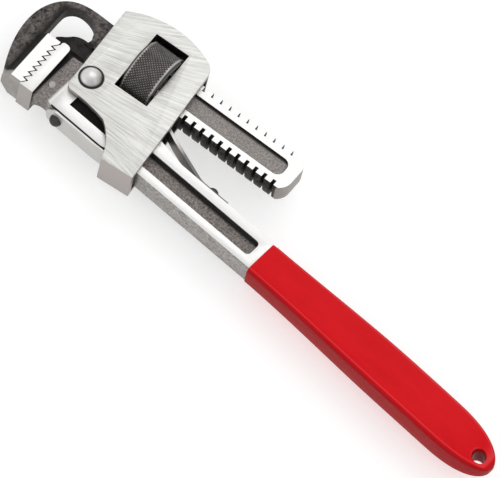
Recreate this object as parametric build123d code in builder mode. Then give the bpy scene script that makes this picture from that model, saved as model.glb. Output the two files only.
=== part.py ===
from build123d import *
import math
import os

# Pipe wrench of the slotted-shank pattern, nominal 350 mm size, lying on its back.
# +X runs along the bar towards the end of the handle, +Y towards the hook jaw's shank,
# +Z out of the front face. Millimetres.

# ---- overall placing ----
pivot = Vector(-108.957, -9.64, 15.3)  # the pivot rivet's axis, at mid thickness
jaw_tilt = 4.7                       # the shank and the jaws lean from the bar, degrees
frame_tilt = 6.3                     # the frame sits slightly cocked on the shank, degrees


def tilted_plane(degrees):
    """The plane of mid thickness through the pivot, turned about the pivot rivet."""
    turn = math.radians(degrees)
    return Plane(origin=pivot, x_dir=(math.cos(turn), math.sin(turn), 0), z_dir=(0, 0, 1))


bar_plane = tilted_plane(0)
jaw_plane = tilted_plane(jaw_tilt)
frame_plane = tilted_plane(frame_tilt)

# ---- bar ----
bar_thickness = 12.4
bar_outer = -20.5                    # the bar's edge away from the shank
bar_inner = -2.7                     # the bar's edge towards the shank
head_outer = -22.6                   # the head stands a little deeper than the bar
head_end = 23.5
bar_end = 118.0                      # the full section stops just inside the grip
recess_top = -7.4                    # the recess between the two bright rails
recess_bottom = -16.2
recess_end = 111.0
recess_corner = 2.2
web_thickness = 6.4                  # what is left between the two recesses
neck_thickness = 10.0                # the thinner neck behind the heel jaw
neck_front = -15.9                   # where the heel jaw's block sits on the neck
neck_back = -6.2
slot_width = 5.0                     # the slot in the neck for the heel jaw's tongue
slot_end = -9.2
slot_low = -17.0
slot_high = 1.5
heel_pin_x = -12.4
heel_pin_y = -12.6
heel_pin_radius = 1.9

# ---- jaws ----
tooth_pitch = 3.52
tooth_depth = 2.4
tooth_lean = 3.0                     # the long flank's share of a pitch
tooth_count = 7                      # whole teeth; a part tooth follows at the low end
heel_valley_x = -20.9
heel_first_valley_y = 4.4
jaw_gap = 0.9                        # the closed jaws' gap, square to the tooth line
jaw_sink = 0.35                      # and the hook's teeth stand this much lower
heel_half = 9.0                      # half the heel jaw's thickness
heel_low = -23.7
heel_top = 6.5
pad_half = 8.8                       # half the hook pad's thickness
pad_low = -22.5
pad_top = 5.6
pad_back = -29.0                     # where the machined pad meets the forged arch
arch_half = 3.8                      # half the arch's thickness
arch_wall_x = -31.6                  # the throat's far wall

# ---- threaded shank ----
shank_y = 22.2                       # the shank's and the nut's common axis
shank_half = 5.4                     # half the shank's thickness
root_half_height = 7.5
crest_half_height = 10.0             # at the shank's faces
thread_pitch = 5.08
thread_start = 1.66                  # where the thread's helix crosses the +Y side
slot_gap = 1.8                       # a thread valley's width
first_slot = 1
last_slot = 18
shank_start = 4.0                    # where the neck grows to the threads' height
shank_end = 101.8
shank_start_corner = 4.9
shank_end_corner = 7.5
shank_recess_end = 95.8
shank_recess_low = -5.3               # the recess, from the shank's axis
shank_recess_high = 4.4
shank_recess_depth = 1.5
neck_half_height = 7.5
crest_radius = math.hypot(crest_half_height, shank_half)

# ---- adjusting nut ----
nut_radius = 15.3
nut_length = 16.9
nut_x = 18.75                        # the nut's middle
nut_chamfer = 1.1
ridge_radius = 9.6                   # the inner radius of the nut's thread
groove_radius = 11.75
ridge_width = 1.2

# ---- frame ----
frame_half = 9.1                     # half the frame's thickness
bar_slot_half = 6.45                 # room for the bar between the cheeks
channel_half = 5.75                  # room for the shank
channel_top = 34.4
channel_low = 14.6
window_left = 10.3
window_right = 28.4
window_low = 4.0
window_high = 37.6
bottom_wall = -27.9                  # inner side of the closed bottom

# ---- rivets and springs ----
pivot_radius = 3.9
pivot_play = 0.05
pivot_head_radius = 5.5
pivot_head_height = 2.5
spring_thickness = 1.2
inner_spring_thickness = 1.6
inner_spring_half = 4.2              # half the inner spring's width
outer_spring_half = 6.0
spring_rivet_x = 76.8
outer_rivet_x = 0.9
small_head_radius = 3.1
small_head_height = 2.9
small_shank_radius = 1.6
small_shank_depth = 3.6

# ---- grip ----
grip_start = 115.4
grip_half = 7.7                      # half the grip's greatest thickness
handle_end = 260.6
cap_start = 228.0                    # where the handle's end begins to round off
narrow_half_width = 9.7              # half the grip's width where it starts
wide_half_width = 11.6               # and at its widest
widest_x = 200.0
body_steps = 10
cap_steps = 9
skin = 1.7                           # the dipped skin's thickness
hole_x = 253.2
hole_y = -17.4
hole_radius = 3.3
hole_lining = 1.4


def turned(x, y, degrees):
    """A point of a tilted plane, given in the bar's own axes."""
    turn = math.radians(degrees)
    return (x * math.cos(turn) - y * math.sin(turn), x * math.sin(turn) + y * math.cos(turn))


def tooth_line(x, y):
    """The sawtooth edge from its top valley down: a long flank, then a short steep one."""
    points = [(x, y)]
    for number in range(tooth_count):
        top = y - number * tooth_pitch
        points.append((x - tooth_depth, top - tooth_lean))
        points.append((x, top - tooth_pitch))
    return points


def handle_section(x, end, inset):
    """The handle's width, thickness and middle line at x, rounded off towards its end."""
    swell = min(1.0, (x - grip_start) / (widest_x - grip_start))
    swell = swell * swell * (3 - 2 * swell)
    into_cap = max(0.0, (x - cap_start) / (end - cap_start))
    cap = math.sqrt(1 - into_cap ** 2.4)
    half_width = narrow_half_width + (wide_half_width - narrow_half_width) * swell - inset
    middle = -12.2 - 3.9 * ((x - grip_start) / (handle_end - grip_start)) ** 1.6
    thickness = 2 * (grip_half * (0.9 + 0.1 * swell) - inset)
    return 2 * half_width * cap, thickness * cap ** 0.8, middle


# ---- bar: forged I-section bar, its head and its slotted neck ----
# the handle's rounded body, once at the skin's outside and once at the steel tang inside it
handle_blanks = []
for inset in (0, skin):
    end = handle_end - inset
    stations = [grip_start + (cap_start - grip_start) * n / body_steps for n in range(body_steps)]
    for n in range(cap_steps + 1):
        stations.append(cap_start + (end - cap_start) * math.sin(math.radians(84 * n / cap_steps)))
    with BuildPart() as blank:
        for x in stations:
            width, thickness, middle = handle_section(x, end, inset)
            section = Plane(
                origin=pivot + Vector(x, middle, 0), x_dir=(0, 1, 0), z_dir=(1, 0, 0)
            )
            with BuildSketch(section):
                RectangleRounded(width, thickness, 0.33 * thickness)
        loft(ruled=True)
    handle_blanks.append(blank.part)

with BuildPart() as bar:
    with BuildSketch(bar_plane):
        with BuildLine():
            Polyline(
                turned(neck_back, -22.0, jaw_tilt),
                (head_end, head_outer),
                (head_end + 7.0, bar_outer),
                (bar_end, bar_outer),
                (bar_end, bar_inner),
                (59.0, bar_inner),
                (45.0, -0.4),
                (9.0, 6.2),
                (4.0, 7.9),
                turned(neck_back, 7.6, jaw_tilt),
                close=True,
            )
        make_face()
    extrude(amount=bar_thickness / 2, both=True)
    add(handle_blanks[1])
    with BuildSketch(bar_plane.offset(-grip_half)):
        with Locations((hole_x, hole_y)):
            Circle(hole_radius + hole_lining)
    extrude(amount=2 * grip_half, mode=Mode.SUBTRACT)
    with BuildSketch(jaw_plane):
        with BuildLine():
            Polyline((neck_back, -21.8), (neck_back, 5.2), (neck_front, 5.2), (neck_front, -22.4))
            ThreePointArc((neck_front, -22.4), (-11.4, -20.2), (neck_back, -21.8))
        make_face()
    extrude(amount=neck_thickness / 2, both=True)
    for side in (1, -1):
        recess_floor = bar_plane.offset(side * web_thickness / 2)
        with BuildSketch(recess_floor):
            with BuildLine():
                Polyline(
                    (1.6, recess_bottom),
                    (recess_end, recess_bottom),
                    (recess_end, recess_top),
                    (6.0, recess_top),
                    (1.6, -9.0),
                    close=True,
                )
            recess = make_face()
            fillet(recess.vertices().group_by(Axis.X)[-1], recess_corner)
        extrude(amount=side * bar_thickness / 2, mode=Mode.SUBTRACT)
    with BuildSketch(jaw_plane.offset(-slot_width / 2)):
        with BuildLine():
            Polyline(
                (neck_front - 1, slot_low),
                (slot_end, slot_low),
                (slot_end, slot_high),
                (neck_front - 1, slot_high),
                close=True,
            )
        make_face()
    extrude(amount=slot_width, mode=Mode.SUBTRACT)
    with BuildSketch(bar_plane.offset(-bar_thickness / 2)):
        Circle(pivot_radius + pivot_play)
    extrude(amount=bar_thickness, mode=Mode.SUBTRACT)
    with BuildSketch(jaw_plane.offset(-bar_thickness / 2)):
        with Locations((heel_pin_x, heel_pin_y)):
            Circle(heel_pin_radius)
    extrude(amount=bar_thickness, mode=Mode.SUBTRACT)

# ---- grip: red vinyl dipped over the tang, lining the hang hole ----
with BuildPart() as grip:
    add(handle_blanks[0])
    with BuildSketch(bar_plane.offset(-grip_half)):
        with Locations((hole_x, hole_y)):
            Circle(hole_radius)
    extrude(amount=2 * grip_half, mode=Mode.SUBTRACT)
    add(bar.part, mode=Mode.SUBTRACT)

# ---- heel jaw: hardened toothed block with a tongue in the neck's slot ----
heel_teeth = tooth_line(heel_valley_x, heel_first_valley_y)
heel_tip_x = heel_valley_x - tooth_depth
with BuildPart() as heel_jaw:
    with BuildSketch(jaw_plane):
        with BuildLine():
            Polyline(
                *heel_teeth,
                (heel_tip_x, heel_teeth[-1][1] - tooth_lean),
                (heel_tip_x, heel_low),
                (neck_front, heel_low),
                (neck_front, 3.9),
            )
            ThreePointArc((neck_front, 3.9), (-16.7, 5.8), (-18.4, heel_top))
            Line((-18.4, heel_top), (-19.9, heel_top))
            ThreePointArc((-19.9, heel_top), (-20.75, 5.9), heel_teeth[0])
        make_face()
    extrude(amount=heel_half, both=True)
    with BuildSketch(jaw_plane.offset(-slot_width / 2)):
        with BuildLine():
            Polyline(
                (neck_front - 1, slot_low),
                (slot_end, slot_low),
                (slot_end, slot_high),
                (neck_front - 1, slot_high),
                close=True,
            )
        make_face()
    extrude(amount=slot_width)
    with BuildSketch(jaw_plane.offset(-slot_width)):
        with Locations((heel_pin_x, heel_pin_y)):
            Circle(heel_pin_radius)
    extrude(amount=2 * slot_width, mode=Mode.SUBTRACT)

with BuildPart() as heel_jaw_pin:
    with BuildSketch(jaw_plane.offset(-neck_thickness / 2 - 0.3)):
        with Locations((heel_pin_x, heel_pin_y)):
            Circle(heel_pin_radius)
    extrude(amount=neck_thickness + 0.6)
    chamfer(heel_jaw_pin.edges(), 0.3)

# ---- shank: the hook jaw's flat-sided threaded part, with a recess along each face ----
slot_slant = math.degrees(math.atan(thread_pitch / (2 * math.pi * 10.4)))
slot_height = crest_radius + 1 - root_half_height
slot_middle = root_half_height + slot_height / 2
with BuildPart() as shank:
    with BuildSketch(jaw_plane) as shank_outline:
        with Locations(((shank_start + shank_end) / 2, shank_y)):
            Rectangle(shank_end - shank_start, 2 * crest_radius)
        fillet(shank_outline.vertices().group_by(Axis.X)[0], shank_start_corner)
        fillet(shank_outline.vertices().group_by(Axis.X)[-1], shank_end_corner)
    extrude(amount=shank_half, both=True)
    with BuildSketch(
        Plane(
            origin=jaw_plane.from_local_coords(Vector(0, shank_y, 0)),
            x_dir=jaw_plane.y_dir,
            z_dir=jaw_plane.x_dir,
        )
    ):
        Circle(crest_radius)
    extrude(amount=shank_end + 5, mode=Mode.INTERSECT)
    for side in (1, -1):
        slant = math.radians(side * slot_slant)
        slot_plane = Plane(
            origin=pivot,
            x_dir=jaw_plane.x_dir * math.cos(slant) - Vector(0, 0, math.sin(slant)),
            z_dir=jaw_plane.x_dir * math.sin(slant) + Vector(0, 0, math.cos(slant)),
        )
        first_x = thread_start + (0 if side > 0 else thread_pitch / 2)
        slot_centres = [
            ((first_x + thread_pitch * number) * math.cos(slant), shank_y + side * slot_middle)
            for number in range(first_slot, last_slot + 1)
        ]
        with BuildSketch(slot_plane):
            with Locations(*slot_centres):
                Rectangle(slot_gap, slot_height)
        extrude(amount=16, both=True, mode=Mode.SUBTRACT)
        with BuildSketch(jaw_plane.offset(side * (shank_half - shank_recess_depth))):
            recess_middle = shank_y + (shank_recess_low + shank_recess_high) / 2
            with Locations(((8 + shank_recess_end) / 2, recess_middle)):
                RectangleRounded(
                    shank_recess_end - 8, shank_recess_high - shank_recess_low, 3.9
                )
        extrude(amount=side * shank_half, mode=Mode.SUBTRACT)

# ---- hook jaw: one forging of arch, toothed pad, neck and threaded shank ----
hook_tip_x = heel_valley_x - jaw_gap
hook_teeth = tooth_line(hook_tip_x, heel_first_valley_y - jaw_sink)
last_flank_x = hook_tip_x - tooth_depth * (hook_teeth[-1][1] - pad_low) / tooth_lean
with BuildPart() as hook_jaw:
    # the arch, rounded all along its edges
    with BuildSketch(jaw_plane):
        with BuildLine():
            arch_back = Spline(
                (-7.0, 31.2), (-16.0, 31.3), (-24.4, 31.0), (-30.8, 29.1), (-35.7, 25.4),
                (-39.2, 20.2), (-41.3, 14.0), (-41.9, 7.0), (-40.8, -2.5), (-38.2, -11.3),
                (-34.2, -20.6),
            )
            Polyline(arch_back @ 1, (-31.6, -22.4), (-28.0, -22.4), (-28.0, 5.0), (arch_wall_x, 6.0))
            Line((arch_wall_x, 6.0), (arch_wall_x, 19.0))
            throat_top = Spline(
                (arch_wall_x, 19.0), (-30.8, 24.2), (-27.8, 27.1), (-23.2, 27.9), (-18.0, 26.6),
                (-14.6, 23.4), (-13.2, 19.4), (-13.4, 16.2),
                tangents=((0, 1), (-0.35, -1)),
            )
            Polyline(throat_top @ 1, (-14.6, 14.6), (-7.0, 14.6), (-7.0, 31.2))
        make_face()
    extrude(amount=arch_half, both=True)
    # the beak under the throat, over the heel jaw's top
    with BuildSketch(jaw_plane):
        with BuildLine():
            beak_top = Spline(
                (-13.0, 16.4), (-17.2, 16.2), (-20.2, 14.8), (-22.6, 12.4), (-25.0, 10.6), (-26.4, 9.2)
            )
            Polyline(beak_top @ 1, (-26.2, 8.5), (-20.8, 8.1), (-4.0, 8.1), (-4.0, 16.4), (-13.0, 16.4))
        make_face()
    extrude(amount=arch_half - 0.4, both=True)
    # the pad's body, wide at the teeth and sloping back to the arch
    with BuildSketch(jaw_plane):
        with BuildLine():
            Polyline(
                *hook_teeth,
                (last_flank_x, pad_low),
                (pad_back, pad_low),
                (pad_back, pad_top),
                (hook_tip_x, pad_top),
                close=True,
            )
        make_face()
    extrude(amount=pad_half, both=True)
    pad_flank = Plane(
        origin=jaw_plane.from_local_coords(Vector(0, pad_low, 0)),
        x_dir=jaw_plane.x_dir,
        z_dir=jaw_plane.y_dir,
    )
    with BuildSketch(pad_flank):
        with BuildLine():
            Polyline(
                (pad_back, pad_half),
                (-33.6, arch_half - 0.5),
                (-33.6, 0.5 - arch_half),
                (pad_back, -pad_half),
                close=True,
            )
        make_face()
    extrude(amount=pad_top - pad_low)
    # the plain neck between the arch and the threads
    with BuildSketch(jaw_plane):
        with Locations((-2.5, shank_y)):
            Rectangle(15.0, 2 * neck_half_height)
    extrude(amount=shank_half, both=True)
    add(shank.part)

# ---- frame: housing of two cheeks with a closed bottom, the nut's window and the channels ----
with BuildPart() as frame:
    with BuildSketch(frame_plane):
        with BuildLine():
            Line((-8.0, 38.4), (-6.6, -7.6))
            ThreePointArc((-6.6, -7.6), (-6.0, -9.7), (-4.2, -10.9))
            ThreePointArc((-4.2, -10.9), (6.7, -11.9), (16.7, -14.2))
            ThreePointArc((16.7, -14.2), (24.2, -22.2), (27.9, -31.3))
            Polyline((27.9, -31.3), (44.8, -30.5), (43.3, 1.6), (41.3, 35.0))
            ThreePointArc((41.3, 35.0), (39.7, 38.5), (36.5, 41.0))
            ThreePointArc((36.5, 41.0), (16.5, 45.5), (-8.0, 38.4))
        make_face()
    extrude(amount=frame_half, both=True)
    with BuildSketch(frame_plane):
        with BuildLine():
            Polyline(
                (-12, bottom_wall), (50, bottom_wall), (50, channel_low), (-12, channel_low), close=True
            )
        make_face()
    extrude(amount=bar_slot_half, both=True, mode=Mode.SUBTRACT)
    with BuildSketch(frame_plane):
        with BuildLine():
            Polyline(
                (-12, channel_low - 1), (50, channel_low - 1), (50, channel_top), (-12, channel_top),
                close=True,
            )
        make_face()
    extrude(amount=channel_half, both=True, mode=Mode.SUBTRACT)
    with BuildSketch(frame_plane):
        with BuildLine():
            Polyline(
                (window_left, window_low),
                (window_right, window_low),
                (window_right, window_high),
                (window_left, window_high),
                close=True,
            )
        make_face()
    extrude(amount=frame_half + 1, both=True, mode=Mode.SUBTRACT)
    with BuildSketch(frame_plane):
        Circle(pivot_radius)
    extrude(amount=frame_half, both=True, mode=Mode.SUBTRACT)

# ---- adjusting nut: a knurled ring whose inner ridge runs in the shank's slots ----
nut_plane = Plane(
    origin=jaw_plane.from_local_coords(Vector(nut_x - nut_length / 2, shank_y, 0)),
    x_dir=jaw_plane.y_dir,
    z_dir=jaw_plane.x_dir,
)
groove_width = thread_pitch - ridge_width
groove_start = thread_start + thread_pitch / 2 - (nut_x - nut_length / 2)
groove_turns = 5
with BuildPart() as groove_turn:
    with BuildLine():
        helix = Helix(
            pitch=thread_pitch, height=thread_pitch, radius=(ridge_radius + groove_radius) / 2 - 0.1
        )
    with BuildSketch(Plane(origin=helix @ 0, x_dir=(1, 0, 0), z_dir=helix % 0)):
        Rectangle(groove_radius - ridge_radius + 0.2, groove_width)
    sweep(path=helix, is_frenet=True)
with BuildPart() as ring:
    Cylinder(nut_radius, nut_length, align=(Align.CENTER, Align.CENTER, Align.MIN))
    chamfer(ring.edges(), nut_chamfer)
    Cylinder(
        ridge_radius,
        nut_length,
        align=(Align.CENTER, Align.CENTER, Align.MIN),
        mode=Mode.SUBTRACT,
    )
    for turn in range(groove_turns):
        along = Location((0, 0, groove_start + thread_pitch * turn))
        add(groove_turn.part.moved(along), mode=Mode.SUBTRACT)
with BuildPart() as adjusting_nut:
    add(ring.part.moved(nut_plane.location))

# ---- springs and rivets ----
with BuildPart() as inner_spring:
    with BuildSketch(bar_plane):
        with BuildLine():
            FilletPolyline((86.2, -1.9), (70.0, -1.9), (48.0, 5.6), (33.2, 11.8), radius=14)
        trace(line_width=inner_spring_thickness)
    extrude(amount=inner_spring_half, both=True)

with BuildPart() as outer_spring:
    with BuildSketch(bar_plane):
        with BuildLine():
            FilletPolyline((-5.4, -23.2), (23.5, -23.2), (36.0, -22.5), radius=60)
        trace(line_width=spring_thickness)
    extrude(amount=outer_spring_half, both=True)
    end_corners = outer_spring.edges().filter_by(Axis.Y).group_by(Axis.X)[0]
    fillet(end_corners, outer_spring_half - 0.2)

small_dome = (small_head_radius**2 + small_head_height**2) / (2 * small_head_height)
small_rivets = []
for seat in (
    Plane(
        origin=pivot + Vector(spring_rivet_x, bar_inner + inner_spring_thickness, 0),
        x_dir=(1, 0, 0),
        z_dir=(0, 1, 0),
    ),
    Plane(
        origin=pivot + Vector(outer_rivet_x, head_outer - spring_thickness, 0),
        x_dir=(1, 0, 0),
        z_dir=(0, -1, 0),
    ),
):
    with BuildPart() as rivet:
        with BuildSketch(seat.offset(-small_shank_depth)):
            Circle(small_shank_radius)
        extrude(amount=small_shank_depth)
        with BuildSketch(Plane(origin=seat.origin, x_dir=seat.x_dir, z_dir=-seat.y_dir)):
            with BuildLine():
                RadiusArc((small_head_radius, 0), (0, small_head_height), -small_dome)
                Polyline((0, small_head_height), (0, 0), (small_head_radius, 0))
            make_face()
        revolve(axis=Axis(seat.origin, seat.z_dir))
    small_rivets.append(rivet)
inner_spring_rivet, outer_spring_rivet = small_rivets

pivot_dome = (pivot_head_radius**2 + pivot_head_height**2) / (2 * pivot_head_height)
with BuildPart() as pivot_rivet:
    with BuildSketch(bar_plane):
        Circle(pivot_radius)
    extrude(amount=frame_half, both=True)
    for side in (1, -1):
        seat = bar_plane.offset(side * frame_half)
        with BuildSketch(Plane(origin=seat.origin, x_dir=seat.x_dir, z_dir=(0, -1, 0))):
            with BuildLine():
                RadiusArc(
                    (pivot_head_radius, 0), (0, side * pivot_head_height), -side * pivot_dome
                )
                Polyline((0, side * pivot_head_height), (0, 0), (pivot_head_radius, 0))
            make_face()
        revolve(axis=Axis(pivot, (0, 0, 1)))

# the springs and the bar give way to their rivets' shanks
with BuildPart() as inner_spring_bored:
    add(inner_spring.part)
    add(inner_spring_rivet.part, mode=Mode.SUBTRACT)
with BuildPart() as outer_spring_bored:
    add(outer_spring.part)
    add(outer_spring_rivet.part, mode=Mode.SUBTRACT)
with BuildPart() as bar_bored:
    add(bar.part)
    add(inner_spring_rivet.part, mode=Mode.SUBTRACT)
    add(outer_spring_rivet.part, mode=Mode.SUBTRACT)

# ---- label and write every piece ----
os.makedirs("parts", exist_ok=True)
pieces = {
    "bar": bar_bored,
    "grip": grip,
    "heel_jaw": heel_jaw,
    "heel_jaw_pin": heel_jaw_pin,
    "hook_jaw": hook_jaw,
    "frame": frame,
    "adjusting_nut": adjusting_nut,
    "pivot_rivet": pivot_rivet,
    "inner_spring": inner_spring_bored,
    "inner_spring_rivet": inner_spring_rivet,
    "outer_spring": outer_spring_bored,
    "outer_spring_rivet": outer_spring_rivet,
}
for name, piece in pieces.items():
    piece.part.label = name
    export_step(piece.part, f"parts/{name}.step")
boxes = [piece.part.bounding_box() for piece in pieces.values()]
print("lowest", [min(tuple(box.min)[k] for box in boxes) for k in range(3)])
print("highest", [max(tuple(box.max)[k] for box in boxes) for k in range(3)])
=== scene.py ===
import math

import bpy
from mathutils import Matrix, Vector


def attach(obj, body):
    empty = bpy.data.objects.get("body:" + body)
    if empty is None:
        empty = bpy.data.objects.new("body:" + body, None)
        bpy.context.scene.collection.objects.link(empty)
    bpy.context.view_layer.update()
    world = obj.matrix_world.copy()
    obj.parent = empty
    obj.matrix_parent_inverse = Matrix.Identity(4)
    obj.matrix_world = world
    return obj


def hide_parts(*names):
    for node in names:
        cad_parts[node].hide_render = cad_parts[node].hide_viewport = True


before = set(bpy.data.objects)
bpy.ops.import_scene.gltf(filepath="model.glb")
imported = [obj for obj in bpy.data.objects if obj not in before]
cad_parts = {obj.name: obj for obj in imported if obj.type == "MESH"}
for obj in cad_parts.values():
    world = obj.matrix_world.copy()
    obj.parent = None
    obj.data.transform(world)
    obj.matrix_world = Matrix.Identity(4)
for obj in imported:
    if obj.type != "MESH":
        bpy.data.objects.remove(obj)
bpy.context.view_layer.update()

# ---- where it lies: floor, camera and studio light ----
# The wrench lies on its back on a pale sweep of card, seen by a long lens from in front of
# the handle's right side, under one large soft light behind the jaws and two weaker ones.
bpy.ops.object.select_all(action="DESELECT")
bpy.ops.mesh.primitive_plane_add(size=12, location=(0, 0, -0.0004))
card = bpy.context.object
card.name = "studio_card"
card_finish = bpy.data.materials.new("studio_card")
card_finish.use_nodes = True
card_shader = card_finish.node_tree.nodes["Principled BSDF"]
card_shader.inputs["Base Color"].default_value = (0.55, 0.55, 0.55, 1)
card_shader.inputs["Roughness"].default_value = 0.9
card_shader.inputs["Emission Color"].default_value = (1, 1, 1, 1)
card_shader.inputs["Emission Strength"].default_value = 0.5
card.data.materials.append(card_finish)

view_right = Vector((0.742, 0.658, 0.126)).normalized()
view_back = Vector((0.229, -0.426, 0.874))
view_back = (view_back - view_right * view_back.dot(view_right)).normalized()
view_up = view_back.cross(view_right)
looked_at = Vector((-0.00455, -0.0156, 0.0153))
camera_distance = 6.0
bpy.ops.object.camera_add(location=looked_at + camera_distance * view_back)
camera = bpy.context.object
camera.rotation_euler = Matrix((view_right, view_up, view_back)).transposed().to_euler()
camera.data.lens = 950
bpy.context.scene.camera = camera

for place, size, power in (
    ((-0.30, 0.75, 1.10), 0.9, 2.6),
    ((0.75, 0.20, 1.00), 0.7, 1.0),
    ((-0.55, -0.70, 0.80), 0.6, 0.2),
):
    toward = looked_at - Vector(place)
    bpy.ops.object.light_add(
        type="AREA", location=place, rotation=toward.to_track_quat("-Z", "Y").to_euler()
    )
    bpy.context.object.data.shape = "SQUARE"
    bpy.context.object.data.size = size
    bpy.context.object.data.energy = power

studio = bpy.data.worlds.new("studio")
bpy.context.scene.world = studio
studio.use_nodes = True
studio.node_tree.nodes["Background"].inputs["Color"].default_value = (1, 1, 1, 1)
studio.node_tree.nodes["Background"].inputs["Strength"].default_value = 0.92
bpy.context.scene.view_settings.view_transform = "Standard"

# ---- bar: drop-forged steel bar ----
# An I-section bar whose rails and edges are ground bright, with a rough forged web left
# between them. Its neck carries the heel jaw, and its tang runs on inside the grip.
pivot_place = (-0.108957, -0.00964, 0.0153)


def eased_copy(node, name, width, steps=2):
    """A merged copy of a CAD node, with its sharp edges eased by a small rounding when a width is
    given.
    """
    bpy.ops.object.select_all(action="DESELECT")
    piece = bpy.data.objects.new(name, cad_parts[node].data.copy())
    bpy.context.collection.objects.link(piece)
    bpy.context.view_layer.objects.active = piece
    piece.select_set(True)
    bpy.ops.object.mode_set(mode="EDIT")
    bpy.ops.mesh.select_all(action="SELECT")
    bpy.ops.mesh.remove_doubles(threshold=0.000002)
    bpy.ops.mesh.customdata_custom_splitnormals_clear()
    bpy.ops.mesh.dissolve_limited(angle_limit=math.radians(0.4))
    bpy.ops.object.mode_set(mode="OBJECT")
    piece.data.materials.clear()
    if width:
        easing = piece.modifiers.new("eased", "BEVEL")
        easing.width = width
        easing.segments = steps
        easing.limit_method = "ANGLE"
        easing.angle_limit = math.radians(32)
        bpy.ops.object.modifier_apply(modifier="eased")
    bpy.ops.object.shade_smooth_by_angle(angle=math.radians(38))
    return piece


def new_finish(name):
    """A finish of its own for one kind of surface: the material, its nodes and its shader."""
    finish = bpy.data.materials.new(name)
    finish.use_nodes = True
    return finish, finish.node_tree, finish.node_tree.nodes["Principled BSDF"]


def put(tree, kind, inputs, output=0, **settings):
    """One node with its inputs set or linked. Gives back its output."""
    made = tree.nodes.new(kind)
    for key, value in settings.items():
        setattr(made, key, value)
    for socket, value in inputs.items():
        if isinstance(value, bpy.types.NodeSocket):
            tree.links.new(value, made.inputs[socket])
        else:
            made.inputs[socket].default_value = value
    return made.outputs[output]


def sum_of(tree, operation, first, second=0.0):
    return put(tree, "ShaderNodeMath", {0: first, 1: second}, operation=operation)


def between(tree, value, low, high, soft=0.25):
    """1 where value lies between low and high, fading over a soft edge."""
    up = put(tree, "ShaderNodeMapRange", {0: value, 1: low - soft, 2: low + soft})
    down = put(tree, "ShaderNodeMapRange", {0: value, 1: high + soft, 2: high - soft})
    return sum_of(tree, "MULTIPLY", up, down)


def patch(tree, *spans):
    """1 where every value lies in its span: the value, its low and high end, its soft edge."""
    share = between(tree, *spans[0])
    for span in spans[1:]:
        share = sum_of(tree, "MULTIPLY", share, between(tree, *span))
    return share


def tinted(tree, share, first, second):
    """A colour that goes from first to second as share goes from 0 to 1."""
    return put(tree, "ShaderNodeMix", {0: share, 6: first, 7: second}, output=2, data_type="RGBA")


def own_axes(tree, tilt):
    """Places in millimetres from the pivot rivet, along the axes of a piece tilted on it."""
    place = tree.nodes.new("ShaderNodeTexCoord").outputs["Object"]
    return put(
        tree,
        "ShaderNodeMapping",
        {0: place, 1: pivot_place, 2: (0, 0, math.radians(tilt)), 3: (0.001, 0.001, 0.001)},
        vector_type="TEXTURE",
    )


def parted(tree, place):
    """The place's three coordinates, each on its own."""
    split = tree.nodes.new("ShaderNodeSeparateXYZ")
    tree.links.new(place, split.inputs[0])
    return split.outputs["X"], split.outputs["Y"], split.outputs["Z"]


def from_axis(tree, place, across):
    """How far the place lies from an axis, given which axes count as across it."""
    arm = put(tree, "ShaderNodeVectorMath", {0: place, 1: across}, operation="MULTIPLY")
    return put(tree, "ShaderNodeVectorMath", {0: arm}, output=1, operation="LENGTH")


def grain(tree, place, stretch, detail=4.0, wave=0.0):
    """Noise drawn out into scratches or left as mottling, by how far each axis is stretched."""
    drawn = put(tree, "ShaderNodeMapping", {0: place, 3: stretch})
    return put(
        tree,
        "ShaderNodeTexNoise",
        {"Vector": drawn, "Scale": 1.0, "Detail": detail, "Roughness": 0.6, "Distortion": wave},
    )


def relief(tree, shader, height, depth):
    """Gives the surface a fine relief of that depth in metres."""
    bump = put(tree, "ShaderNodeBump", {"Height": height, "Distance": depth, "Strength": 1.0})
    tree.links.new(bump, shader.inputs["Normal"])


def facing(tree):
    """How squarely the surface faces up or down, from 0 to 1."""
    normal = tree.nodes.new("ShaderNodeNewGeometry").outputs["True Normal"]
    return sum_of(tree, "ABSOLUTE", parted(tree, normal)[2])


def lying_flat(tree):
    """1 on surfaces that face up or down, falling to 0 on upright ones."""
    return put(tree, "ShaderNodeMapRange", {0: facing(tree), 1: 0.35, 2: 0.8})


def standing_up(tree):
    """1 on upright surfaces, falling to 0 on those that face up or down."""
    return put(tree, "ShaderNodeMapRange", {0: facing(tree), 1: 0.3, 2: 0.8, 3: 1.0, 4: 0.0})


bar_finish, tree, shader = new_finish("forged_bar")
place = own_axes(tree, 0)
x, y, z = parted(tree, place)
height = sum_of(tree, "ABSOLUTE", z)
near_black_scale_and_shade = (0.012, 0.011, 0.011, 1)
scratches = grain(tree, place, (0.10, 2.6, 2.6), detail=5)
mottle = grain(tree, place, (1.0, 1.0, 1.0), detail=7, wave=0.5)
mottle = put(tree, "ShaderNodeMapRange", {0: mottle, 1: 0.34, 2: 0.66})
ground = tinted(tree, scratches, (0.62, 0.61, 0.60, 1), (0.82, 0.815, 0.80, 1))
# painted shade: the bar's upright faces take a darker mottled tone than its flat faces
shaded_edge_tone = tinted(tree, mottle, (0.17, 0.155, 0.147, 1), (0.46, 0.44, 0.42, 1))
ground = tinted(tree, lying_flat(tree), shaded_edge_tone, ground)
# painted shadow: a near black line along the bar's outer edge, in the gap beside the outer spring
painted_gap_shadow = patch(tree, (x, -5.0, 30.0, 1.0), (y, -30.0, -21.85, 0.12), (height, 5.2, 9.0, 0.1))
ground = tinted(tree, painted_gap_shadow, ground, (0.02, 0.019, 0.018, 1))
forged = tinted(tree, mottle, (0.11, 0.095, 0.088, 1), (0.36, 0.33, 0.31, 1))
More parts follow.
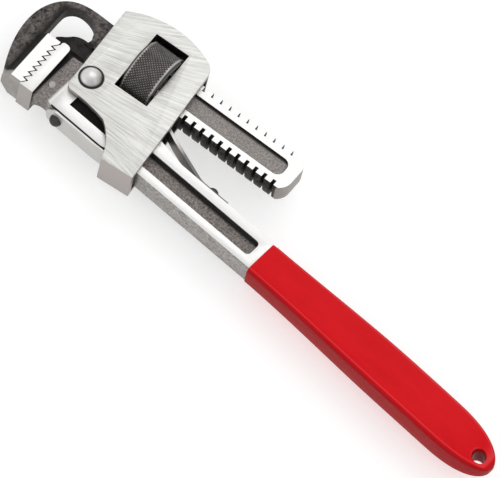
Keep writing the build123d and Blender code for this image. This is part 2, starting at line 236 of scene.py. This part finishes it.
# painted shade: the web goes near black along its upper edge, next to the frame and at its end by
# the grip
upper_edge = between(tree, y, -8.9, -7.0, 0.6)
shade = sum_of(tree, "MAXIMUM", upper_edge, between(tree, x, -9.0, 27.0, 1.5))
shade = sum_of(tree, "MAXIMUM", shade, between(tree, x, 110.2, 113.0, 0.4))
forged = tinted(tree, sum_of(tree, "MULTIPLY", shade, 0.93), forged, near_black_scale_and_shade)
in_web = patch(tree, (height, -1.0, 5.6, 0.15), (x, 1.0, 111.5), (y, -16.4, -7.2, 0.1))
colour = tinted(tree, in_web, ground, forged)
on_neck = between(tree, x, -30.0, -7.0, 0.6)
neck_tone = tinted(tree, mottle, (0.13, 0.115, 0.108, 1), (0.36, 0.335, 0.315, 1))
# painted shade: the neck goes near black next to the heel block, where the block shades it
neck_tone = tinted(tree, between(tree, x, -30.0, -13.9, 0.5), neck_tone, near_black_scale_and_shade)
colour = tinted(tree, on_neck, colour, neck_tone)
tree.links.new(colour, shader.inputs["Base Color"])
shader.inputs["Metallic"].default_value = 0.8
tree.links.new(
    put(tree, "ShaderNodeMapRange", {0: sum_of(tree, "ADD", in_web, on_neck), 3: 0.36, 4: 0.62}),
    shader.inputs["Roughness"],
)
relief(tree, shader, tinted(tree, in_web, scratches, mottle), 0.00012)

bar = eased_copy("bar", "forged_bar", 0.0005)
bar.data.materials.append(bar_finish)
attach(bar, "bar")
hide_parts("bar")

# ---- grip: red vinyl dipped over the tang ----
# The handle is dipped hot in vinyl, which leaves a thick glossy skin with a rounded lip at
# its start, a softly rounded end and a lining through the hole it hangs by.
grip_start = pivot_place[0] + 0.1154
grip_length = 0.1452
swelling_length = 0.0846
end_from = 0.1126
start_half_width = 0.0097
swelling = 0.0019
full_half_thickness = 0.0077


def grip_section(along):
    """The skin's half width, half thickness and middle line, at a share of its length."""
    swell = min(1.0, along * grip_length / swelling_length)
    swell = swell * swell * (3 - 2 * swell)
    into_end = max(0.0, (along * grip_length - end_from) / (grip_length - end_from))
    end = math.sqrt(1 - into_end**2.4)
    half_width = (start_half_width + swelling * swell) * end
    half_thickness = full_half_thickness * (0.9 + 0.1 * swell) * end**0.8
    middle = pivot_place[1] - 0.0122 - 0.0039 * along**1.6
    return half_width, half_thickness, middle


bpy.ops.object.select_all(action="DESELECT")
half_width, half_thickness, middle = grip_section(0.0)
bpy.ops.mesh.primitive_plane_add(
    size=2, location=(grip_start, middle, pivot_place[2]), rotation=(0, math.radians(90), 0)
)
grip = bpy.context.object
grip.name = "vinyl_grip"
bpy.ops.object.transform_apply(location=True, rotation=True, scale=True)
bpy.ops.object.mode_set(mode="EDIT")
bpy.ops.mesh.select_all(action="SELECT")
# the lip stands just wide of the bar, so that it covers the bar's corners
half_width, half_thickness = half_width + 0.0001, half_thickness - 0.0001
bpy.ops.transform.resize(
    value=(1, half_width, half_thickness), center_override=(grip_start, middle, pivot_place[2])
)
section_corner = 0.0027
bpy.ops.mesh.bevel(affect="VERTICES", offset=section_corner, segments=4)
stations = [0.002, 0.008, 0.02] + [0.065 * n for n in range(1, 12)]
stations += [0.7755 + 0.2245 * math.sin(math.radians(84 * n / 12)) for n in range(1, 13)]
was = 0.0
for along in stations:
    wider, thicker, next_middle = grip_section(along)
    step = ((along - was) * grip_length, next_middle - middle, 0)
    bpy.ops.mesh.extrude_region_move(TRANSFORM_OT_translate={"value": step})
    bpy.ops.transform.resize(
        value=(1, wider / half_width, thicker / half_thickness),
        center_override=(grip_start + along * grip_length, next_middle, pivot_place[2]),
    )
    was, half_width, half_thickness, middle = along, wider, thicker, next_middle
bpy.ops.mesh.select_all(action="SELECT")
bpy.ops.mesh.normals_make_consistent(inside=False)
bpy.ops.object.mode_set(mode="OBJECT")
smoothing = grip.modifiers.new("smoothed", "SUBSURF")
smoothing.levels = 2
smoothing.render_levels = 2
bpy.ops.object.modifier_apply(modifier="smoothed")

# a spool with flared ends opens the hang hole and rounds its rims
hole_place = (pivot_place[0] + 0.2532, pivot_place[1] - 0.0174, pivot_place[2])
hole_radius = 0.0033
bpy.ops.mesh.primitive_cylinder_add(
    vertices=48, radius=hole_radius, depth=0.0080, location=hole_place
)
spool = bpy.context.object
bpy.ops.object.transform_apply(location=True, rotation=True, scale=True)
for side in (1, -1):
    for rise, flare in ((0.0012, 1.03), (0.0008, 1.12), (0.0005, 1.22), (0.004, 1.3)):
        bpy.ops.object.mode_set(mode="EDIT")
        bpy.ops.mesh.select_mode(type="FACE")
        bpy.ops.mesh.select_all(action="DESELECT")
        bpy.ops.object.mode_set(mode="OBJECT")
        end_face = max(spool.data.polygons, key=lambda face: side * face.center.z)
        end_face.select = True
        bpy.ops.object.mode_set(mode="EDIT")
        bpy.ops.mesh.extrude_region_move(TRANSFORM_OT_translate={"value": (0, 0, side * rise)})
        bpy.ops.transform.resize(value=(flare, flare, 1), center_override=hole_place)
        bpy.ops.object.mode_set(mode="OBJECT")
bpy.ops.object.select_all(action="DESELECT")
bpy.context.view_layer.objects.active = grip
grip.select_set(True)
hole = grip.modifiers.new("hole", "BOOLEAN")
hole.object = spool
hole.operation = "DIFFERENCE"
bpy.ops.object.modifier_apply(modifier="hole")
bpy.data.objects.remove(spool)
bpy.ops.object.shade_smooth_by_angle(angle=math.radians(50))

vinyl, tree, shader = new_finish("dipped_vinyl")
place = own_axes(tree, 0)
clouds = grain(tree, place, (0.03, 0.10, 0.10), detail=3)
runs = grain(tree, place, (0.06, 0.9, 0.9), detail=3)
skin = tinted(tree, clouds, (0.50, 0.002, 0.006, 1), (0.68, 0.005, 0.010, 1))
# painted shade: the red skin darkens as its surface turns away from the front face to the sides
level = facing(tree)
painted_shade_on_sides = put(tree, "ShaderNodeMapRange", {0: level, 1: 0.95, 2: 0.35})
skin = tinted(tree, painted_shade_on_sides, skin, (0.30, 0.0015, 0.004, 1))
# painted highlight: a lighter pink streak where the rounded corners turn from the front face
painted_ridge_highlight = sum_of(tree, "MULTIPLY", between(tree, level, 0.86, 0.95, 0.03), 0.30)
skin = tinted(tree, painted_ridge_highlight, skin, (0.80, 0.10, 0.11, 1))
tree.links.new(skin, shader.inputs["Base Color"])
shader.inputs["Roughness"].default_value = 0.27
shader.inputs["Specular IOR Level"].default_value = 0.07
relief(tree, shader, sum_of(tree, "ADD", clouds, sum_of(tree, "MULTIPLY", runs, 0.2)), 0.0004)
grip.data.materials.clear()
grip.data.materials.append(vinyl)
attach(grip, "bar")
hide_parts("grip")

# ---- heel jaw and its pin ----
# A hardened toothed block, milled all over, keyed into the bar's neck by a tongue and kept there by
# a ground cross pin.
jaw_tilt = 4.7
jaw_finish, tree, shader = new_finish("milled_jaw")
place = own_axes(tree, jaw_tilt)
milling = grain(tree, place, (2.2, 0.12, 2.2), detail=4)
stains = grain(tree, place, (0.30, 0.30, 0.30), detail=5)
milled_dull, milled_bright = (0.72, 0.71, 0.695, 1), (0.90, 0.89, 0.875, 1)
colour = tinted(tree, milling, milled_dull, milled_bright)
# painted shade: the block's upright faces are darker and its tooth flanks go near black
shaded_upright = standing_up(tree)
colour = tinted(tree, shaded_upright, colour, (0.36, 0.335, 0.315, 1))
colour = tinted(tree, sum_of(tree, "MULTIPLY", stains, 0.25), colour, (0.45, 0.42, 0.39, 1))
x, y, z = parted(tree, place)
flank = sum_of(tree, "MULTIPLY", shaded_upright, between(tree, y, -23.4, 12.0, 0.1))
colour = tinted(tree, flank, colour, near_black_scale_and_shade)
tree.links.new(colour, shader.inputs["Base Color"])
shader.inputs["Metallic"].default_value = 0.75
shader.inputs["Roughness"].default_value = 0.42
relief(tree, shader, milling, 0.00008)
heel_jaw = eased_copy("heel_jaw", "heel_jaw_block", 0.00028)
heel_jaw.data.materials.append(jaw_finish)
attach(heel_jaw, "bar")
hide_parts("heel_jaw")

dark_finish, tree, shader = new_finish("dark_pin")
worn = grain(tree, own_axes(tree, 0), (0.9, 0.9, 0.9), detail=5)
tree.links.new(
    tinted(tree, worn, (0.006, 0.006, 0.006, 1), (0.07, 0.064, 0.06, 1)), shader.inputs["Base Color"]
)
shader.inputs["Metallic"].default_value = 0.4
shader.inputs["Roughness"].default_value = 0.5
relief(tree, shader, worn, 0.00006)
pin_finish, tree, shader = new_finish("ground_pin")
worn = grain(tree, own_axes(tree, 0), (0.9, 0.9, 0.9), detail=5)
tree.links.new(
    tinted(tree, worn, (0.20, 0.185, 0.175, 1), (0.48, 0.455, 0.44, 1)), shader.inputs["Base Color"]
)
shader.inputs["Metallic"].default_value = 0.8
shader.inputs["Roughness"].default_value = 0.45
pin = eased_copy("heel_jaw_pin", "heel_jaw_cross_pin", 0.0)
pin.data.materials.append(pin_finish)
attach(pin, "bar")
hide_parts("heel_jaw_pin")

# ---- hook jaw: forged arch, milled pad and threaded shank in one piece ----
# The arch keeps its dark forged skin, with painted shade on its upright faces and along its inner
# wall, and the beak is painted near black as deep shade. The pad, the teeth and the flat faces of
# the shank are machined bright; the walls of the slots and the flanks of the teeth carry painted
# shade, and the recess is dark forged skin with a painted shadow under its lip.
hook_finish, tree, shader = new_finish("forged_hook")
place = own_axes(tree, jaw_tilt)
x, y, z = parted(tree, place)
height = sum_of(tree, "ABSOLUTE", z)
scale = grain(tree, place, (0.45, 0.45, 0.45), detail=9, wave=0.6)
pits = grain(tree, place, (2.4, 2.4, 2.4), detail=6)
blotches = put(tree, "ShaderNodeMapRange", {0: scale, 1: 0.34, 2: 0.66})
forged = tinted(tree, blotches, near_black_scale_and_shade, (0.155, 0.137, 0.129, 1))
# painted shade: upright faces of the forging are mixed halfway to near black
flat = lying_flat(tree)
forged = tinted(tree, flat, tinted(tree, 0.55, forged, near_black_scale_and_shade), forged)
deep_painted_shade = (0.008, 0.007, 0.007, 1)
# painted shade: near black along the arch's inner wall
wall_shade = patch(tree, (x, -34.2, -20.0, 1.6), (y, -30.0, 26.0, 2.0))
forged = tinted(tree, sum_of(tree, "MULTIPLY", wall_shade, 0.9), forged, deep_painted_shade)
# painted shade: the beak is painted near black as deep shade under the neck
beak_shade = patch(tree, (x, -27.5, -9.0, 0.8), (y, 6.0, 17.5, 0.8))
forged = tinted(tree, sum_of(tree, "MULTIPLY", beak_shade, 0.85), forged, deep_painted_shade)
low_end = between(tree, y, -30.0, -19.8, 0.7)
end_tone = tinted(tree, scale, (0.24, 0.225, 0.212, 1), (0.42, 0.40, 0.38, 1))
forged = tinted(tree, low_end, forged, end_tone)
milling = grain(tree, place, (0.12, 2.4, 2.4), detail=4)
bright = tinted(tree, milling, milled_dull, milled_bright)
on_pad = patch(tree, (x, -29.2, -18.0, 0.1), (y, -30.0, 5.75, 0.1), (height, 4.5, 20.0, 0.2))
speckle = put(tree, "ShaderNodeMapRange", {0: pits, 1: 0.34, 2: 0.66})
recess = tinted(tree, speckle, (0.12, 0.108, 0.10, 1), (0.40, 0.375, 0.355, 1))
# painted shadow: the recess goes near black under its upper lip
shadow_under_lip = between(tree, y, 25.5, 27.2, 0.5)
recess = tinted(tree, sum_of(tree, "MULTIPLY", shadow_under_lip, 0.9), recess, near_black_scale_and_shade)
in_recess = patch(tree, (x, 7.0, 96.5, 0.2), (y, 16.2, 27.2, 0.2))
forged = tinted(tree, in_recess, forged, recess)
on_shank = patch(tree, (x, 4.0, 120.0, 0.5), (height, 4.9, 20.0, 0.15))
on_shank = sum_of(tree, "MULTIPLY", on_shank, flat)
worked = sum_of(tree, "MAXIMUM", on_pad, on_shank)
# painted shade: upright faces of the machined parts, the slot walls and tooth flanks, are near black
# except near the low end
worked_tone_with_shaded_flanks = tinted(tree, between(tree, y, -30.0, -22.2, 0.1), near_black_scale_and_shade, end_tone)
worked_tone_with_shaded_flanks = tinted(tree, flat, worked_tone_with_shaded_flanks, bright)
last_thread_x = 97.8
at_tail = sum_of(tree, "GREATER_THAN", x, last_thread_x)
forged = tinted(tree, at_tail, forged, end_tone)
colour = tinted(tree, worked, forged, worked_tone_with_shaded_flanks)
tree.links.new(colour, shader.inputs["Base Color"])
shader.inputs["Metallic"].default_value = 0.75
tree.links.new(
    put(tree, "ShaderNodeMapRange", {0: worked, 3: 0.55, 4: 0.40}), shader.inputs["Roughness"]
)
relief(tree, shader, tinted(tree, worked, sum_of(tree, "ADD", scale, pits), milling), 0.00016)
hook = eased_copy("hook_jaw", "hook_jaw_forging", 0.0)
bpy.ops.object.mode_set(mode="EDIT")
bpy.ops.mesh.select_mode(type="EDGE")
# all edges are rounded together, only as far as the shortest ones leave room
bpy.ops.mesh.bevel(offset=0.0013, segments=4, clamp_overlap=True)
bpy.ops.object.mode_set(mode="OBJECT")
easing = hook.modifiers.new("eased", "BEVEL")
easing.width = 0.00026
easing.segments = 2
easing.limit_method = "ANGLE"
easing.angle_limit = math.radians(32)
bpy.ops.object.modifier_apply(modifier="eased")
bpy.ops.object.shade_smooth_by_angle(angle=math.radians(38))
hook.data.materials.append(hook_finish)
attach(hook, "hook")
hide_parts("hook_jaw")

# ---- frame: the housing that joins shank and bar ----
# Two cheeks and a closed bottom in one steel piece, belt-ground after it was cut, so that
# fine wavy lines sweep over its faces and steepen towards its tail.
frame_finish, tree, shader = new_finish("belt_ground_frame")
frame_tilt = 6.3
place = own_axes(tree, frame_tilt)
x, y, z = parted(tree, place)
fan = sum_of(tree, "POWER", 2.71828, sum_of(tree, "MULTIPLY", x, -0.0110))
fan = sum_of(tree, "MULTIPLY", sum_of(tree, "ADD", y, 10.0), fan)
swept = put(tree, "ShaderNodeCombineXYZ", {0: x, 1: fan, 2: z})
fine = grain(tree, swept, (0.050, 1.50, 0.4), detail=4, wave=0.45)
broad = grain(tree, swept, (0.035, 0.42, 0.2), detail=3, wave=0.3)
fine_share = sum_of(tree, "MULTIPLY", fine, 0.85)
lines = sum_of(tree, "ADD", fine_share, sum_of(tree, "MULTIPLY", broad, 0.15))
lines = put(tree, "ShaderNodeMapRange", {0: lines, 1: 0.34, 2: 0.66})
colour = tinted(tree, lines, (0.49, 0.485, 0.465, 1), (0.74, 0.74, 0.715, 1))
# painted shade: the frame's upright faces are a darker brown-grey
shaded_upright = standing_up(tree)
colour = tinted(tree, shaded_upright, colour, (0.40, 0.365, 0.345, 1))
# painted shade: faces inside the frame, between the cheeks and round the window, are near black
height = sum_of(tree, "ABSOLUTE", z)
inside = patch(tree, (height, -1.0, 6.6, 0.1), (y, -27.7, 37.8, 0.1))
in_window = patch(tree, (x, 9.9, 28.8, 0.05), (y, 3.6, 38.0, 0.05))
in_window = sum_of(tree, "MULTIPLY", in_window, shaded_upright)
inside = sum_of(tree, "MAXIMUM", inside, in_window)
colour = tinted(tree, inside, colour, (0.02, 0.019, 0.018, 1))
# painted shadow: near black round the foot of the pivot rivet
from_pivot = from_axis(tree, place, (1, 1, 0))
shadow_round_rivet = between(tree, from_pivot, 0.0, 6.15, 0.15)
colour = tinted(tree, shadow_round_rivet, colour, (0.03, 0.028, 0.027, 1))
tree.links.new(colour, shader.inputs["Base Color"])
shader.inputs["Metallic"].default_value = 0.75
shader.inputs["Roughness"].default_value = 0.40
relief(tree, shader, lines, 0.00010)
housing = eased_copy("frame", "frame_housing", 0.0004)
housing.data.materials.append(frame_finish)
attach(housing, "frame")
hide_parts("frame")

# ---- adjusting nut: a knurled steel ring on the shank's thread ----
# Turned from bar, diamond-knurled round its outside between two turned chamfers and darkened, with a
# painted highlight along one chamfer. Its square inner thread runs in the shank's slots.
tilt = math.radians(jaw_tilt)
shank_way = Vector((math.cos(tilt), math.sin(tilt), 0))
nut_along = 0.01875
shank_out = 0.0222
nut_middle = Vector(pivot_place) + nut_along * shank_way
nut_middle += shank_out * Vector((-math.sin(tilt), math.cos(tilt), 0))
nut_radius = 0.0153
flutes = 120
knurled_half = 0.00735
knurl_depth = 0.00034
rows = 18


def off_axis(point):
    """How far a point lies from the nut's axis."""
    arm = point - nut_middle
    return (arm - shank_way * arm.dot(shank_way)).length


nut = eased_copy("adjusting_nut", "adjusting_nut_ring", 0.0)
bpy.ops.object.mode_set(mode="EDIT")
bpy.ops.mesh.select_mode(type="FACE")
bpy.ops.mesh.select_all(action="DESELECT")
bpy.ops.object.mode_set(mode="OBJECT")
for face in nut.data.polygons:
    nearest = min(off_axis(nut.data.vertices[n].co) for n in face.vertices)
    face.select = nearest > nut_radius - 0.0004 and abs(face.normal.dot(shank_way)) < 0.2
bpy.ops.object.mode_set(mode="EDIT")
bpy.ops.mesh.delete(type="FACE")
bpy.ops.object.mode_set(mode="OBJECT")

bpy.ops.object.select_all(action="DESELECT")
bpy.ops.mesh.primitive_circle_add(
    vertices=flutes,
    radius=nut_radius,
    location=nut_middle - knurled_half * shank_way,
    rotation=shank_way.to_track_quat("Z", "Y").to_euler(),
)
knurl = bpy.context.object
bpy.ops.object.transform_apply(location=True, rotation=True, scale=True)
bpy.ops.object.mode_set(mode="EDIT")
bpy.ops.mesh.select_all(action="SELECT")
for row in range(rows):
    step = 2 * knurled_half / rows * shank_way
    bpy.ops.mesh.extrude_edges_move(TRANSFORM_OT_translate={"value": step})
bpy.ops.mesh.select_all(action="SELECT")
bpy.ops.mesh.normals_make_consistent(inside=False)
bpy.ops.mesh.select_mode(type="VERT")
bpy.ops.mesh.select_all(action="DESELECT")
bpy.ops.object.mode_set(mode="OBJECT")
side_way = shank_way.cross(Vector((0, 0, 1)))
for point in knurl.data.vertices:
    arm = point.co - nut_middle
    turn = math.atan2(arm.dot(side_way), arm.z) / math.radians(360 / flutes)
    row = (arm.dot(shank_way) + knurled_half) / (2 * knurled_half / rows)
    point.select = (round(turn) + round(row)) % 2 == 0 and 0 < round(row) < rows
bpy.ops.object.mode_set(mode="EDIT")
bpy.ops.transform.shrink_fatten(value=-knurl_depth)
bpy.ops.mesh.select_all(action="SELECT")
bpy.ops.mesh.quads_convert_to_tris(quad_method="SHORTEST_DIAGONAL")
bpy.ops.object.mode_set(mode="OBJECT")
nut.select_set(True)
bpy.context.view_layer.objects.active = nut
bpy.ops.object.join()
for side in (1, -1):
    bpy.ops.object.mode_set(mode="EDIT")
    bpy.ops.mesh.select_mode(type="EDGE")
    bpy.ops.mesh.select_all(action="SELECT")
    bpy.ops.mesh.region_to_loop()
    bpy.ops.object.mode_set(mode="OBJECT")
    for edge in nut.data.edges:
        middle = sum((nut.data.vertices[n].co for n in edge.vertices), Vector()) / 2
        if side * (middle - nut_middle).dot(shank_way) < 0:
            edge.select = False
    bpy.ops.object.mode_set(mode="EDIT")
    bpy.ops.mesh.bridge_edge_loops()
bpy.ops.mesh.select_all(action="SELECT")
bpy.ops.mesh.normals_make_consistent(inside=False)
bpy.ops.object.mode_set(mode="OBJECT")
bpy.ops.object.shade_smooth_by_angle(angle=math.radians(14))

nut_finish, tree, shader = new_finish("knurled_nut")
place = tree.nodes.new("ShaderNodeTexCoord").outputs["Object"]
place = put(
    tree,
    "ShaderNodeMapping",
    {0: place, 1: nut_middle, 2: (0, 0, tilt), 3: (0.001, 0.001, 0.001)},
    vector_type="TEXTURE",
)
radius = from_axis(tree, place, (0, 1, 1))
crest = put(tree, "ShaderNodeMapRange", {0: radius, 1: 15.1, 2: 15.3})
worn = grain(tree, place, (0.35, 0.35, 0.35), detail=6)
rubbed = put(tree, "ShaderNodeMapRange", {0: worn, 1: 0.3, 2: 0.6, 3: 0.4})
crest = sum_of(tree, "MULTIPLY", crest, rubbed)
x, y, z = parted(tree, place)
# painted highlight: a bright band on one chamfer, the turned edge plus a painted highlight
rim = between(tree, x, 7.3, 7.7, 0.08)
colour = tinted(tree, worn, (0.030, 0.027, 0.026, 1), (0.11, 0.10, 0.095, 1))
colour = tinted(tree, crest, colour, (0.42, 0.40, 0.39, 1))
colour = tinted(tree, sum_of(tree, "MULTIPLY", rim, 0.7), colour, (0.60, 0.585, 0.57, 1))
tree.links.new(colour, shader.inputs["Base Color"])
shader.inputs["Metallic"].default_value = 0.75
shader.inputs["Roughness"].default_value = 0.42
nut.data.materials.clear()
nut.data.materials.append(nut_finish)
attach(nut, "nut")
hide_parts("adjusting_nut")

# ---- pivot rivet ----
# A turned steel rivet, peened to a bright polished dome on both cheeks, with painted shade darkening
# each dome towards +X and a painted shadow ring round its edge.
polish, tree, shader = new_finish("polished_rivet")
place = own_axes(tree, 0)
dents = grain(tree, place, (0.22, 0.22, 0.22), detail=2)
from_pivot = from_axis(tree, place, (1, 1, 0))
colour = tinted(tree, dents, (0.50, 0.485, 0.47, 1), (0.92, 0.915, 0.90, 1))
x, y, z = parted(tree, place)
# painted shade: the dome darkens towards +X
painted_shade_to_right = put(tree, "ShaderNodeMapRange", {0: x, 1: -1.0, 2: 5.0, 4: 0.75})
colour = tinted(tree, painted_shade_to_right, colour, (0.13, 0.118, 0.11, 1))
# painted shadow: a near black ring round the dome's edge
colour = tinted(tree, between(tree, from_pivot, 4.9, 8.0, 0.35), colour, (0.02, 0.02, 0.02, 1))
tree.links.new(colour, shader.inputs["Base Color"])
shader.inputs["Metallic"].default_value = 0.9
shader.inputs["Roughness"].default_value = 0.34
relief(tree, shader, dents, 0.0002)
pivot_rivet = eased_copy("pivot_rivet", "pivot_rivet_domed", 0.0)
pivot_rivet.data.materials.append(polish)
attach(pivot_rivet, "frame")
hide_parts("pivot_rivet")

# ---- leaf springs and their rivets ----
# Two flat strips of spring steel that hold the frame square, each riveted to one edge of
# the bar by a small domed rivet left dark from the heat.
spring_finish, tree, shader = new_finish("spring_steel")
place = own_axes(tree, 0)
drawn = grain(tree, place, (0.15, 0.15, 2.2), detail=4)
colour = tinted(tree, drawn, (0.42, 0.405, 0.39, 1), (0.66, 0.645, 0.625, 1))
x, y, z = parted(tree, place)
behind = sum_of(tree, "GREATER_THAN", y, -12.0)
dull = sum_of(tree, "MULTIPLY", behind, sum_of(tree, "SUBTRACT", 1.0, lying_flat(tree)))
colour = tinted(tree, dull, colour, (0.27, 0.24, 0.225, 1))
# painted shade: the inner spring goes near black along its stretch by its rivet
painted_shade_by_rivet = sum_of(tree, "MULTIPLY", behind, between(tree, x, 52.0, 100.0, 4.0))
colour = tinted(tree, sum_of(tree, "MULTIPLY", painted_shade_by_rivet, 0.85), colour, (0.06, 0.053, 0.05, 1))
tree.links.new(colour, shader.inputs["Base Color"])
shader.inputs["Metallic"].default_value = 0.8
shader.inputs["Roughness"].default_value = 0.36
relief(tree, shader, drawn, 0.00004)
for node, name in (("inner_spring", "inner_leaf_spring"), ("outer_spring", "outer_leaf_spring")):
    spring = eased_copy(node, name, 0.00015, 1)
    spring.data.materials.append(spring_finish)
    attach(spring, "bar")
    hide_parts(node)
for node, name in (
    ("inner_spring_rivet", "inner_rivet_domed"),
    ("outer_spring_rivet", "outer_rivet_domed"),
):
    rivet = eased_copy(node, name, 0.0)
    rivet.data.materials.append(dark_finish)
    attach(rivet, "bar")
    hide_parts(node)
